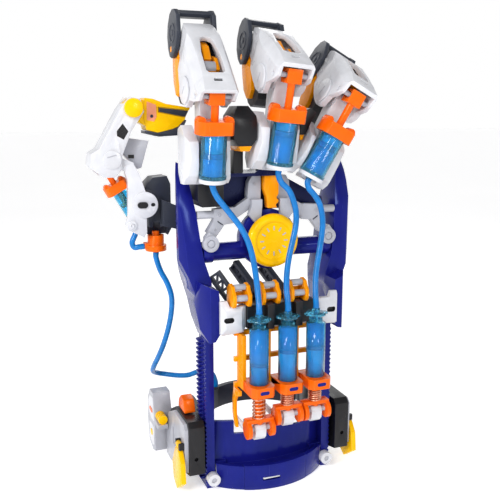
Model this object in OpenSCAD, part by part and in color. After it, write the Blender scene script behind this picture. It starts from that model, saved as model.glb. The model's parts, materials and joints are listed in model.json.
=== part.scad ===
// Hydraulic arm kit: a hand on a forearm frame, moved by water cylinders.
// Z is up along the forearm, the back of the hand faces -Y, the thumb is at -X.
// The origin is midway between the two side rails, on the plane they stand on.

/* [Forearm frame] */
// Distance between the inner faces of the two rails
rail_gap = 102; // [101:0.5:103]
// Thickness of a rail across the frame
rail_w = 7; // [6:0.5:7]
// Depth of a rail, front to back
rail_d = 18; // [16:1:18]
// Distance between two rack teeth
tooth_pitch = 4; // [4:1:6]
// Height of the front rim of the cradle
rim_h = 22; // [18:1:24]

/* [Input cylinders] */
// Distance between the axes of two input cylinders
input_pitch = 25; // [24.5:0.5:26]
// Outer diameter of an input barrel
input_od = 15.7; // [15.5:0.1:16]
// Outer diameter of an input piston
input_piston_d = 13.8; // [13:0.1:13.8]

/* [Output cylinders] */
// Outer diameter of an output barrel
output_od = 20; // [19:0.5:20]
// Outer diameter of an output piston
output_piston_d = 16; // [14:0.5:16]

/* [Fingers] */
// Half width of a finger shell at its knuckle
shell_w = 16.5; // [16:0.5:17]
// Length of the first finger bone, knuckle to middle joint
bone_len = 50; // [50:1:52]

/* [Hoses] */
// Outer diameter of a hose
hose_d = 4.8; // [4:0.2:4.8]

/* [Hidden] */
$fn = 64;

// Fingers 0 to 2 are index, middle and ring.
// Knuckle axis, lean of the whole finger to the side, and bend of the first bone
knuckle = [[-56, -4, 334], [4, -8, 343], [57, -8.4, 327]];
lean = [0, 5, 28];
bend = [42, 60, 60];
// Bend of the second bone from the first, and of the third from the second
bend_2 = 84;
bend_3 = 63;
// Middle joint in the frame of the first bone, and the length of the second bone
joint_y = -7;
bone_2 = 15;
// Crank pin in the frame of the first bone
crank_y = -13;
crank_z = -18.4;
// Foot of an output cylinder from the knuckle, and its lean to the front
foot_y = -13;
foot_z = -66;
cyl_lean = 8;
// Reach of the rod eye from the cylinder foot, and its length down to the piston
eye_reach = [61.6, 68.7, 68.7];
rod_len = 44;
pin_r = 2.45;
bore_r = 2.52;

// Front of the input cylinders, their ends, and the height of each plunger axle
input_y = -36;
input_z0 = 105;
input_z1 = 150;
axle_z = [66.6, 74.5, 74.5];
axle_y = -37;
piston_rise = 53.4;
plunger_r = 3.5;

rail_in = rail_gap / 2;
rail_out = rail_in + rail_w;
tooth_h = 3;
hub_z = 214;
link_z = 213;

// Thumb: axes run along Y
swing_axis = [-95.2, 242.2];
flex_axis = [-121.7, 280.2];
tip_axis = [-103.2, 321.2];
thumb_cyl_foot = [-101, 230.4];
thumb_cyl_lean = -30;
thumb_cyl_y = 57;
thumb_eye_reach = 53.5;

// Routes of the hoses, chosen by hand
index_route = [[-56, -16.4, 263.8], [-55.5, -16.5, 260], [-53, -17.5, 254], [-48, -19, 247],
    [-41, -20.5, 238], [-34, -22, 228], [-29, -23.5, 217], [-26, -25, 205], [-24.5, -27, 193],
    [-24, -30, 181], [-24.5, -34, 171], [-25, -36, 165], [-25, -36, 162.2]];
middle_route = [[-2.1, -20.4, 273.1], [-2.4, -20.2, 269.5], [-0.5, -21.5, 263.5], [5.5, -23, 257],
    [9, -24, 249], [11, -25, 240], [10.5, -26, 229], [7.5, -27, 217], [4, -28, 204],
    [1.5, -29.5, 191], [0.3, -32, 179], [0, -35, 170], [0, -36, 165], [0, -36, 162.2]];
ring_route = [[24.1, -20.8, 265.1], [22.9, -20.8, 262], [24.2, -21.8, 257.2], [28.5, -23, 252],
    [32.5, -24, 245], [34.5, -25, 236], [34.5, -26, 226], [32.5, -27, 213], [30, -28, 201],
    [27.5, -29.5, 189], [26, -32, 178], [25, -35, 170], [25, -36, 165], [25, -36, 162.2]];
thumb_route = [[-84, 55, 199.5], [-84, 55, 194], [-81, 53, 183], [-76, 50, 172], [-73, 48, 160],
    [-73, 50, 146], [-75, 54, 130], [-78, 60, 114], [-81, 68, 100], [-83, 78, 88],
    [-82, 88, 79], [-76, 94, 74], [-68, 93, 72], [-59, 86, 72], [-51, 78, 74],
    [-44, 72, 78], [-37, 68, 80], [-31, 66, 77], [-28, 65, 70], [-28, 65, 64.2]];
loop_route = [[-98.5, 57, 226.1], [-98, 57, 224], [-101, 57, 216], [-104, 57, 209],
    [-102.5, 56.5, 204.5], [-98.5, 55.5, 204.8], [-94.2, 55.5, 205]];

// Colours
blue = [0.13, 0.13, 0.5];
white = [0.93, 0.93, 0.95];
grey = [0.62, 0.62, 0.68];
dark = [0.2, 0.21, 0.25];
black = [0.07, 0.07, 0.08];
orange = [0.95, 0.4, 0.05];
amber = [0.98, 0.65, 0.05];
yellow = [0.98, 0.8, 0.1];
water = [0.05, 0.55, 0.9, 0.6];
copper = [0.8, 0.5, 0.35];

// ---------- Helpers ----------

// An outline of (y, z) points as a plate from x0 to x1
module side_plate(x0, x1) {
    translate([x0, 0, 0]) rotate([90, 0, 90]) linear_extrude(x1 - x0) children();
}

// An outline of (x, z) points as a plate from y0 to y1
module front_plate(y0, y1) {
    translate([0, y1, 0]) rotate([90, 0, 0]) linear_extrude(y1 - y0) children();
}

// An outline of (x, y) points as a plate from z0 to z1
module top_plate(z0, z1) {
    translate([0, 0, z0]) linear_extrude(z1 - z0) children();
}

// A round bar along X through (y, z)
module rod_x(r, x0, x1, y, z) {
    translate([x0, y, z]) rotate([0, 90, 0]) cylinder(r = r, h = x1 - x0);
}

// A round bar along Y through (x, z)
module rod_y(r, y0, y1, x, z) {
    translate([x, y1, z]) rotate([90, 0, 0]) cylinder(r = r, h = y1 - y0);
}

// A block between two corners
module block(a, b) {
    translate(a) cube(b - a);
}

module both_sides() {
    children();
    mirror([1, 0, 0]) children();
}

// The three fingers' common frame: origin on the knuckle axis, Z along the hand
module at_knuckle(i) {
    translate(knuckle[i]) rotate([0, lean[i], 0]) children();
}

// Frames of the three bones, each with Z along its bone and -Y on its back
module on_bone_1(i) {
    at_knuckle(i) rotate([-bend[i], 0, 0]) children();
}

module on_bone_2(i) {
    on_bone_1(i) translate([0, joint_y, bone_len]) rotate([-bend_2, 0, 0]) children();
}

module on_bone_3(i) {
    on_bone_2(i) translate([0, 0, bone_2]) rotate([-bend_3, 0, 0]) children();
}

// Frame of an output cylinder, with Z from its foot to its rod eye
module on_output(i) {
    at_knuckle(i) translate([0, foot_y, foot_z]) rotate([cyl_lean, 0, 0]) children();
}

// Frame of an input cylinder, with Z up and z = 0 on the standing plane
module on_input(i) {
    translate([(i - 1) * input_pitch, input_y, 0]) children();
}

// Frame of the thumb cylinder
module on_thumb_cylinder() {
    translate([thumb_cyl_foot[0], thumb_cyl_y, thumb_cyl_foot[1]])
        rotate([0, thumb_cyl_lean, 0]) children();
}

function unit(v) = v / norm(v);

// Direction of a route at its point i
function heading(route, i) =
    unit(route[min(i + 1, len(route) - 1)] - route[max(i - 1, 0)]);

// One ring of a tube: an octagon across the route
function hose_ring(p, along) =
    let(side = unit(cross(along, [0.2, 1, 0.1])), up = cross(along, side))
    [for (k = [0:7]) p + hose_d / 2 * (cos(45 * k) * side + sin(45 * k) * up)];

// A hose along a route, as one closed solid
module hose(route) {
    n = len(route);
    points = [for (i = [0:n - 1]) each hose_ring(route[i], heading(route, i))];
    walls = [for (i = [0:n - 2], k = [0:7])
        each [[8 * i + k, 8 * i + (k + 1) % 8, 8 * i + 8 + (k + 1) % 8],
              [8 * i + k, 8 * i + 8 + (k + 1) % 8, 8 * i + 8 + k]]];
    ends = [[for (k = [7:-1:0]) k], [for (k = [0:7]) 8 * (n - 1) + k]];
    polyhedron(points, concat(walls, ends), convexity = 6);
}

// ---------- Forearm frame ----------

// Rack teeth facing outwards, as one saw outline from z0 to z1
module rack(z0, z1, y0, y1, reach) {
    count = floor((z1 - z0) / tooth_pitch);
    front_plate(y0, y1)
        polygon(concat([[rail_out - 1, z0], [rail_out, z0]],
            [for (i = [0:count - 1]) each [
                [rail_out, z0 + i * tooth_pitch + 0.6],
                [rail_out + reach, z0 + i * tooth_pitch + 1.3],
                [rail_out + reach, z0 + i * tooth_pitch + 2.5],
                [rail_out, z0 + i * tooth_pitch + 3.2]]],
            [[rail_out, z1], [rail_out - 1, z1]]));
}

// The right side frame: rail, foot, shoulder and the curved horn beside the palm
module side_frame() {
    intersection() {
        front_plate(-2, 40)
            polygon([[75, 279], [77.5, 263], [80.5, 246], [81.4, 232], [81, 219], [78, 204],
                [72.5, 190], [67, 176], [64, 163], [62, 148], [rail_out, 134], [rail_in, 134],
                [rail_in, 166], [52, 182], [57.9, 200], [60.5, 219], [62.5, 238], [66, 261],
                [71.5, 277]]);
        side_plate(40, 90)
            polygon([[0, 130], [0, 196], [2, 214], [6, 240], [12, 260], [20, 277], [24, 280],
                [30, 270], [37, 246], [40, 222], [38, 196], [34, 172], [28, 152], [20, 130]]);
        top_plate(120, 290)
            polygon([[40, -1], [71, -1], [77, 8], [76.5, 16], [72, 28], [64, 41], [40, 41]]);
    }
    block([rail_in, 0, 0], [rail_out, rail_d, 136]);
    block([rail_in, rail_d - 0.5, 0], [rail_out, 72, 5]);
    rack(4, 132, 9, rail_d, tooth_h);
    rack(4, 132, 0, 2.5, 0.9);
    intersection() {
        front_plate(-18, 3)
            polygon([[64, 184], [52, 179], [rail_in, 168], [rail_in, 143], [55, 137],
                [60, 136], [65, 146], [67, 166]]);
        top_plate(130, 190)
            polygon([[50, -18], [59, -18], [65, -8], [68, 3], [50, 3]]);
    }
}

module right_frame() {
    color(blue) side_frame();
}

module left_frame() {
    color(blue) mirror([1, 0, 0]) side_frame();
}

// A full ring wall of a circle of radius r about (0, y), cut in front of y_max
module arc_wall(r, thick, centre_y, y_max, z0, z1) {
    top_plate(z0, z1) intersection() {
        difference() {
            translate([0, centre_y]) circle(r = r, $fn = 180);
            translate([0, centre_y]) circle(r = r - thick, $fn = 180);
        }
        translate([-rail_in, -60]) square([rail_gap, 60 + y_max]);
    }
}

// Tray at the open end of the forearm space: rim, floor, ledge and inner wall
module forearm_cradle() {
    color(blue) {
        difference() {
            arc_wall(72.5, 4, 52.5, 14, 0, rim_h);
            for (side = [-1, 1]) block([side * 40 - 11, -40, -1], [side * 40 + 11, 20, 30]);
            block([-14, -30, 8], [2, -10, 11]);
        }
        for (side = [-1, 1]) block([side * 45.5 - 5.5, 2.5, 0], [side * 45.5 + 5.5, 16, rim_h]);
        top_plate(rim_h - 7, rim_h - 4) difference() {
            intersection() {
                translate([0, 52.5]) circle(r = 68.6, $fn = 180);
                translate([-40, -40]) square([80, 60]);
            }
            translate([0, 118]) circle(r = 117.5, $fn = 180);
        }
        difference() {
            arc_wall(120, 3, 118, 14, 3, 57);
            for (side = [-1, 1]) {
                block([side * 28 - 4.5, -10, 45], [side * 28 + 4.5, 20, 58]);
                block([side * 6 - 3.5, -10, 49], [side * 6 + 3.5, 20, 58]);
            }
        }
        top_plate(0, 3.1) difference() {
            intersection() {
                translate([0, 52.5]) circle(r = 68.6, $fn = 180);
                translate([-29, -40]) square([58, 60]);
            }
            translate([0, 118]) circle(r = 114, $fn = 180);
        }
    }
}

// White caps: the bar's corners, the ends of the rim and its round bosses
module end_caps() {
    color(white) both_sides() {
        difference() {
            intersection() {
                front_plate(-24, -6)
                    polygon([[29.8, 148], [29.8, 165.8], [44.5, 165.8], [46, 170.5],
                        [rail_in + 1, 170.5], [rail_in + 1, 143.5], [50, 142.5], [34, 144]]);
                top_plate(140, 175)
                    polygon([[29.8, -19.5], [35, -24], [48, -24], [rail_in + 1, -21.5],
                        [rail_in + 1, -18.1], [rail_in - 0.4, -18.1],
                        [rail_in - 0.4, -17.6], [29.8, -17.6]]);
                side_plate(20, 60)
                    polygon([[-6, 140], [-20, 140], [-24, 148.5], [-24, 162], [-19.6, 172],
                        [-6, 172]]);
            }
            hull() {
                rod_y(2.2, -30, -20.5, 43.5, 155.5);
                rod_y(2.2, -30, -20.5, 47.5, 155.5);
            }
        }
        difference() {
            arc_wall(72.5, 3.8, 52.5, 2, 0.4, rim_h - 0.4);
            block([-60, -40, -1], [29.3, 20, 30]);
            block([50, -40, -1], [60, 20, 30]);
        }
        difference() {
            rod_y(5.4, -7, -0.3, 53.5, 10);
            rod_y(2.4, -8, -5, 53.5, 10);
        }
        rod_y(2.2, -6.4, -5, 53.5, 10);
    }
}

// A lattice beam between two points
module truss(a, b) {
    length = norm(b - a);
    turn = atan2(b[1] - a[1], b[0] - a[0]);
    tilt = acos((b[2] - a[2]) / length);
    bays = 4;
    step = (length - 2) / bays;
    translate(a) rotate([0, tilt, turn]) {
        for (side = [-4, 4]) translate([side - 1.2, -3, 0]) cube([2.4, 6, length]);
        for (k = [0:bays]) translate([-4, -2, k * step]) cube([8, 4, 2]);
        for (k = [0:bays - 1]) {
            translate([-3, -1.5, k * step + 1]) rotate([0, atan2(6, step), 0])
                translate([-0.8, 0, 0]) cube([1.6, 3, norm([6, step])]);
        }
    }
}

// Black bar that the input cylinders hang on, with the beams behind it
module syringe_bar() {
    color(black) {
        block([-29.8, -23, 147], [29.8, -2, 166]);
        for (x = [-1, 1]) {
            block([x * input_pitch / 2 - 2.9, -31, 147], [x * input_pitch / 2 + 2.9, -22.5, 167]);
        }
    }
    color(dark) {
        truss([-48.5, 4, 188], [-33, -5.5, 163]);
        truss([-24, 24, 190], [-11, -5.5, 163]);
        truss([2, 24, 187], [13, -5.5, 163]);
    }
}

// Amber frame behind the input cylinders, with an orange clamp under each barrel
module syringe_rack() {
    color(amber) {
        for (side = [-1, 1]) {
            block([side * 34 - 1.6, -27, 97], [side * 34 + 1.6, -14, 142.4]);
            block([side * 12.5 - 1.6, -27, 93], [side * 12.5 + 1.6, -14, 147]);
        }
        for (z = [96, 118, 140]) block([-38.7, -17, z], [35.6, -14, z + 4]);
        block([-11.2, -26, 97], [11.2, -21.6, 104]);
        // Finger guards, each a piece of its own under the bars
        for (k = [-1.5, -0.5, 0.5]) {
            top = k < -1 ? 95.9 : 92.9;
            side_plate(k * input_pitch - 1.2, k * input_pitch + 1.2)
                polygon([[-27, top], [-14, top], [-11, 84], [-11, 72], [-16, 62], [-20, 62],
                    [-16, 72], [-16, 84], [-20, 90], [-27, 92]]);
        }
    }
    color(orange) {
        for (i = [0:2]) on_input(i) difference() {
            union() {
                translate([-10, -8.5, 96.5]) cube([20, 23, 8.5]);
                top_plate(96.5, 105)
                    polygon([[-10, -8], [-10, -8.6], [-7, -13], [7, -13], [10, -8.6], [10, -8]]);
            }
            translate([0, 0, 90]) cylinder(r = plunger_r + 0.12, h = 20);
            hull() for (x = [-2.4, 2.4]) rod_y(1.6, -14, -12.2, x, 100.8);
        }
    }
}

// Clear barrels of the three input cylinders
module input_barrels() {
    color(water) for (i = [0:2]) on_input(i) difference() {
        union() {
            translate([0, 0, input_z0]) cylinder(d = input_od, h = input_z1 - input_z0);
            translate([0, 0, input_z1 - 0.1]) cylinder(r = 5.4, h = 4);
            translate([0, 0, 153.8]) cylinder(r = 4, h = 3.4);
            translate([0, 0, 156.6]) cylinder(r = 8.2, h = 1.8);
            translate([-9.5, -2, 156.6]) cube([19, 4, 1.8]);
            translate([0, 0, 158]) cylinder(r = 3.2, h = 4);
        }
        translate([0, 0, input_z0 - 1]) cylinder(d = input_piston_d + 0.16, h = 45);
        translate([0, 0, 149]) cylinder(r = 1.4, h = 20);
    }
}

// Orange hooks above the bar with their grey rollers
module hose_clips() {
    for (k = [-1, 0, 1]) translate([k * input_pitch - 10.5, 0, 0]) {
        color(amber) {
            for (x = [-8, 5]) side_plate(x, x + 3)
                polygon([[-12, 166], [-26, 166], [-28, 169], [-28, 176], [-25, 179],
                    [-23, 182.5], [-17, 184], [-12, 180]]);
            block([-5, -15, 166], [5, -12, 176]);
        }
        color(grey) {
            rod_x(2.6, -4.8, 4.8, -24.5, 173);
            rod_x(2.6, -4.8, 4.8, -20, 181);
        }
    }
}

// ---------- Wrist ----------

// Blue hub and crossbar between the side frames
module wrist_hub() {
    color(blue) difference() {
        union() {
            rod_y(25, 4, 14, 0, hub_z);
            rod_y(21, 13.9, 17, 0, hub_z);
            both_sides() {
                rod_x(7.6, 18, 49, 10.5, 205);
                rod_x(8.8, 48.9, 57.4, 10.5, 205);
            }
        }
        rod_y(6.08, 0, 20, 0, hub_z);
    }
}

// White elbow links with round bosses, grey pins and the centre plates
module wrist_links() {
    color(grey) both_sides() {
        difference() {
            rod_y(6.6, -3, 1.6, 52.8, link_z + 1);
            rod_y(3.4, -4, -1.6, 52.8, link_z + 1);
        }
        rod_y(2.8, -2.6, -1.5, 52.8, link_z + 1);
        front_plate(-1, 4.5)
            polygon([[48.5, 215], [57, 215], [57.5, 219], [54, 223.5], [47, 218]]);
        front_plate(4, 11)
            polygon([[47.5, 217], [54, 222.5], [48, 232], [48, 241], [31, 242], [30, 229],
                [39, 228]]);
        front_plate(4.4, 10) polygon([[31.5, 231], [31.5, 241], [16.5, 250], [16.5, 240]]);
        rod_x(3.2, 47.5, 61.8, 7.5, 236.5);
        front_plate(4, 11.6)
            polygon([[7.5, 267], [15, 267], [18, 262], [19, 250], [17, 243.5], [8, 243.5],
                [7.5, 250]]);
        front_plate(-1, 3.4) polygon([[8, 243], [17, 243], [20, 236], [14, 229], [9, 232]]);
        front_plate(3.3, 5) polygon([[8, 243.5], [17, 243.5], [17, 247], [8, 247]]);
        front_plate(-1, 3.4) polygon([[8, 243], [17, 243], [17, 248], [8, 248]]);
    }
}

// Yellow dial that locks the wrist, turning on its own shaft in the hub
module dial() {
    color(yellow) {
        rod_y(22.4, -7, -2.2, 0, hub_z);
        rod_y(19.5, -8.6, -6.9, 0, hub_z);
        rod_y(20, -2.3, -1.6, 0, hub_z);
        rod_y(6, -1.7, 18, 0, hub_z);
        rod_y(9, 17.9, 20, 0, hub_z);
    }
}

// Orange strut between the centre plates
module centre_strut() {
    color(amber) front_plate(-1.5, 6)
        polygon([[-6.4, 267.3], [5, 267.3], [6.4, 264], [6.4, 252], [4.5, 249],
            [6.8, 246], [4, 243], [5, 240.5], [-3, 240.5], [-4, 250], [-6.4, 256]]);
}

// Navy palm body and the black beam under the index bracket
module palm_block() {
    color([0.1, 0.1, 0.25]) {
        front_plate(14.5, 32)
            polygon([[-42, 246], [-36, 238], [36, 238], [46, 232], [56, 238], [54, 246],
                [42, 252], [8, 270], [-36, 270], [-42, 264]]);
        front_plate(-4, 14.6)
            polygon([[-39.5, 267.4], [4, 267.4], [4, 271.2], [-12, 272.6], [-16, 270],
                [-39.5, 270]]);
    }
    color(black) front_plate(-3, 22)
        polygon([[-63.5, 249], [-60, 244], [-45, 244], [-42.1, 248], [-42.1, 262.5],
            [-63.5, 262.5]]);
}

// ---------- Hand ----------

// A cheek beside an output barrel, with chamfered front corners
module cheek(outer) {
    intersection() {
        side_plate(10.8, outer)
            polygon([[-13, -38], [-15, -50], [-11, -64], [-3, -71], [6, -71], [14, -60],
                [17, -44], [11, -29], [3, -26], [-6, -33]]);
        top_plate(-80, -20)
            polygon([[10, -12], [12, -16], [outer - 3, -16], [outer, -8], [outer, 12],
                [outer - 4, 18], [10, 18]]);
    }
}

// Bracket of one finger: base, cheeks, seat of the cylinder and the knuckle neck
module bracket(i, left, right) {
    base_z = i == 2 ? -63 : -71.5;
    at_knuckle(i) difference() {
        union() {
            block([-11, 1, base_z], [11, 12, -33]);
            mirror([1, 0, 0]) cheek(left);
            cheek(right);
            side_plate(-6.8, 6.8)
                polygon([[-5, -40], [9, -40], [9, -10], [7, 3], [0, 8], [-6, 5], [-8, -2],
                    [-5, -12]]);
            rod_x(8, -8, 8, 0, 0);
            translate([0, foot_y, foot_z]) rotate([cyl_lean, 0, 0]) {
                difference() {
                    translate([0, 0, -3]) cylinder(r = 10.6, h = 3);
                    translate([0, 0, -5]) cylinder(r = 3.4, h = 10);
                }
            }
            block([-5.5, -9, -70.5], [5.5, 2.5, -67.5]);
        }
        rod_x(bore_r, -30, 30, 0, 0);
    }
}

module knuckle_brackets() {
    color(white) {
        bracket(0, 20, 16.4);
        bracket(1, 20, 16.4);
        bracket(2, 16.4, 20);
    }
}

// Black bumpers between the knuckles, each with an amber foot
module knuckle_bumpers() {
    color(black) {
        intersection() {
            front_plate(-20, 6)
                polygon([[-39.2, 297], [-39.2, 315], [-35, 322.5], [-26, 322.5], [-20.6, 315],
                    [-20.6, 297], [-24, 292], [-35, 292]]);
            side_plate(-45, -15)
                polygon([[-17, 290], [-20, 297], [-20, 312], [-15, 323], [2, 323], [6, 314],
                    [6, 290]]);
        }
        block([-34, -4, 270.2], [-26, 10, 288.2]);
        front_plate(-15, 2)
            polygon([[19, 300], [19, 318], [28, 321], [33, 317], [29, 311.5], [23, 300]]);
        block([16.4, -2, 291.5], [19, 2, 297]);
    }
    color(amber) {
        front_plate(-18, 4) polygon([[-35, 291.8], [-24, 291.8], [-26, 288], [-33, 288]]);
        front_plate(-14, 1) polygon([[18.8, 300], [22.4, 300], [21, 296], [18.8, 296]]);
    }
}

// Clear barrels of the three finger cylinders
module output_barrels() {
    color(water) for (i = [0:2]) on_output(i) difference() {
        union() {
            cylinder(d = output_od, h = 34);
            cylinder(r = 10.6, h = 2.6);
            translate([0, 0, -3.9]) cylinder(r = 3.2, h = 4.1);
        }
        translate([0, 0, 2.4]) cylinder(d = output_piston_d + 0.16, h = 40);
        translate([0, 0, -5]) cylinder(r = 1.4, h = 10);
    }
}

// Oblong cap of an output cylinder with two lugs and the guide of its rod
module output_cap() {
    difference() {
        union() {
            intersection() {
                translate([0, 0, 34]) cylinder(r = 15, h = 10);
                translate([-16, -10.5, 33]) cube([32, 21, 12]);
            }
            for (side = [-1, 1]) {
                translate([side * 11, 4, 44]) rotate([90, 0, 0]) cylinder(r = 3.2, h = 8);
            }
        }
        translate([0, 0, 30]) cylinder(r = 3.08, h = 30);
    }
}

// Orange caps of the finger cylinders and the foot of the thumb's swing cylinder
module output_caps() {
    color(orange) {
        for (i = [0:2]) on_output(i) output_cap();
        difference() {
            union() {
                translate([-84, 55, 201]) cylinder(r = 9, h = 5);
                translate([-84, 55, 205.9]) cylinder(r = 7, h = 8.7);
                translate([-94, 51, 203]) cube([12, 9, 5]);
                translate([-84, 55, 199.6]) cylinder(r = 3, h = 2);
            }
            translate([-84, 55, 203]) cylinder(r = 5.1, h = 12);
            translate([-84, 55, 198]) cylinder(r = 1.4, h = 10);
        }
    }
}

module finger_hoses() {
    color(water) {
        hose(index_route);
        hose(middle_route);
        hose(ring_route);
    }
}

module thumb_hoses() {
    color(water) {
        hose(thumb_route);
        hose(loop_route);
    }
}

// First bone of a finger: an inverted channel that straddles its bracket
module finger_shell(i) {
    color(white) on_bone_1(i) difference() {
        intersection() {
            side_plate(-20, 20)
                polygon([[-25, -23.5], [-26.5, -10], [-26.5, 8], [-25.5, 28], [-22, 44],
                    [-18, 53], [-12, 56.5], [-5, 57], [0, 54], [1.5, 48], [3, 40], [8, 22],
                    [11.5, 6], [11.5, -4], [8, -10], [-2, -12], [-8, -19], [-14, -23.5]]);
            front_plate(-40, 40)
                polygon([[-14, -24], [-16, -20], [-shell_w, -12], [-shell_w, 14],
                    [-15.4, 28], [-12.4, 38], [-12, 50], [-9, 58], [9, 58], [12, 50],
                    [12.4, 38], [15.4, 28], [shell_w, 14], [shell_w, -12], [16, -20],
                    [14, -24]]);
            top_plate(-30, 60)
                polygon([[-11, -27], [-shell_w, -19], [-shell_w, 16], [shell_w, 16],
                    [shell_w, -19], [11, -27]]);
        }
        side_plate(-12, 12) polygon([[-21.5, -40], [-22, 26], [-19, 36], [30, 36], [30, -40]]);
        side_plate(-8.5, 8.5) polygon([[-18, 20], [-14, 50], [30, 60], [30, 20]]);
        // Window in the back, and the small slot below it
        front_plate(-40, -18) {
            translate([0, 26]) circle(r = 5.2);
            polygon([[-5.2, 26], [5.2, 26], [7.2, 12], [7.4, -5.5], [5.6, -7.5], [-5.6, -7.5],
                [-7.4, -5.5], [-7.2, 12]]);
        }
        translate([-3.4, -30, -15.4]) cube([6.8, 6.4, 2.6]);
        rod_x(2.5, -30, 30, 0, 0);
        rod_x(2.05, -30, 30, crank_y, crank_z);
        rod_x(bore_r, -30, 30, joint_y, bone_len);
    }
}

// Pins of the first bone, their side bosses, and the amber link with its roller
module finger_linkage(i) {
    on_bone_1(i) {
        color(grey) {
            rod_x(pin_r, -shell_w - 0.2, shell_w + 0.2, 0, 0);
            for (side = [-1, 1]) {
                translate([side * (shell_w + 1) - 0.9, 0, 0]) rotate([0, 90, 0])
                    cylinder(r = 10.4, h = 1.8);
            }
            rod_x(2, -15, 15, crank_y, crank_z);
            rod_x(5, -4.5, 4.5, -15.5, 8);
        }
        color(amber) side_plate(-3, 3)
            polygon([[-19, 13.6], [-20.5, 26], [-17, 34], [-9, 40], [-6, 38], [-11, 31],
                [-14, 25], [-13, 14]]);
        color(amber) for (side = [-1, 1]) {
            side_plate(side * 6 - 1.4, side * 6 + 1.4)
                polygon([[-19, 3], [-20, 14], [-16, 20], [-11, 16], [-11, 4]]);
        }
    }
}

// Rod of an output cylinder: slotted eye, rod and piston
module finger_rod(i) {
    color(orange) on_output(i) translate([0, 0, eye_reach[i]]) difference() {
        union() {
            translate([-6, -5, -6]) cube([12, 12.4, 11]);
            translate([0, 0, -rod_len]) cylinder(r = 3, h = rod_len - 5);
            translate([0, 0, -rod_len - 2]) cylinder(d = output_piston_d, h = 4);
        }
        for (y = [-0.9, 2.7]) rod_x(2.6, -10, 10, y, 0);
        translate([-10, -0.9, -2.6]) cube([20, 3.6, 5.2]);
    }
}

// Plunger of an input cylinder: piston, rod and the yoke with its axle
module finger_plunger(i) {
    color(orange) translate([(i - 1) * input_pitch, 0, axle_z[i]]) {
        difference() {
            union() {
                translate([0, input_y, 2]) cylinder(r = plunger_r, h = piston_rise - 2);
                translate([0, input_y, piston_rise]) cylinder(d = input_piston_d, h = 3);
                translate([-9.5, axle_y - 3, 5.6]) cube([19, 7.5, 3]);
                for (x = [-11.5, 8.5]) {
                    rod_x(7.6, x, x + 3, axle_y, 0);
                    translate([x, axle_y - 3, 0]) cube([3, 7.5, 8.6]);
                }
            }
            rod_x(4.6, -8.5, 8.5, axle_y, 0);
        }
        rod_x(2, -9, 9, axle_y, 0);
    }
}

// Return spring round the plunger, between the clamp and the yoke
module finger_spring(i) {
    low = axle_z[i] + 8.8;
    high = 96.3;
    turns = 7;
    step = (high - low - 1.4) / (turns - 1);
    color(copper) on_input(i) for (k = [0:turns - 1]) {
        translate([0, 0, low + 0.7 + k * step]) rotate_extrude() translate([4.9, 0])
            circle(r = 0.7, $fn = 24);
    }
}

// Half ring that takes one of the user's fingers, clipped on the plunger's axle
module finger_cradle(i) {
    trough_r = 11;
    color(white) translate([(i - 1) * input_pitch, 0, axle_z[i]]) {
        difference() {
            translate([0, -9.5, 0.5]) rotate([90, 0, 0]) cylinder(r = trough_r, h = 17);
            translate([0, -9, 0.5]) rotate([90, 0, 0]) cylinder(r = trough_r - 2, h = 18);
            block([-20, -40, 1.5], [20, 0, 20]);
        }
        difference() {
            union() {
                rod_x(3.6, -4.6, 4.6, axle_y, 0);
                side_plate(-4.6, 4.6)
                    polygon([[axle_y - 4, 0], [axle_y - 3.4, -6], [axle_y, -9.6], [-26, -10.4],
                        [-26, -8.2], [axle_y + 2.6, -6], [axle_y + 4, 0]]);
            }
            rod_x(2.07, -20, 20, axle_y, 0);
        }
    }
}

// Second bone: two dark side plates and the bar across their backs
module finger_side_plates(i) {
    color(dark) on_bone_2(i) difference() {
        union() {
            for (x = [-16.4, 13]) side_plate(x, x + 3.4)
                polygon([[-10, -13.8], [-17.2, -11.6], [-21.1, -7], [-22.8, 0.4],
                    [-19.8, 9.9], [-13.7, 16.8], [-5.3, 20.5], [2.5, 20.8], [7, 17.5],
                    [8.6, 12], [7.6, 2], [1.7, -7.8]]);
            side_plate(-13.1, 13.1)
                polygon([[-13, -12], [-17, -11], [-20.4, -7], [-22, 0], [-19, 0.6], [-16, -5],
                    [-12.4, -8.4]]);
            rod_x(pin_r, -13.5, 13.5, 0, 0);
        }
        rod_x(bore_r, -30, 30, 0, bone_2);
    }
}

// Third bone: amber cheeks with a web between them
module finger_distal(i) {
    color(amber) on_bone_3(i) {
        for (x = [-12.6, 9.2]) side_plate(x, x + 3.4)
            polygon([[-6, -4.5], [-8.5, 2], [-10, 12], [-10.5, 25], [-6.5, 35], [-1, 37.5],
                [5, 33], [7.5, 22], [7, 8], [6.5, -2], [3, -6.5], [-2, -7]]);
        side_plate(-9.3, 9.3) polygon([[-5, 6], [-8, 12], [-8, 17.5], [6, 17.5], [6, 8]]);
        rod_x(pin_r, -16.2, 16.2, 0, 0);
    }
}

// Rubber tip between the amber cheeks
module finger_pad(i) {
    color(black) on_bone_3(i) side_plate(-9, 9)
        polygon([[-12.5, 18], [-14, 26], [-12.5, 35], [-8, 41.5], [0, 44], [7, 42], [12, 36],
            [13.5, 28], [12, 20], [9, 18]]);
}

// ---------- Thumb ----------

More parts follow.
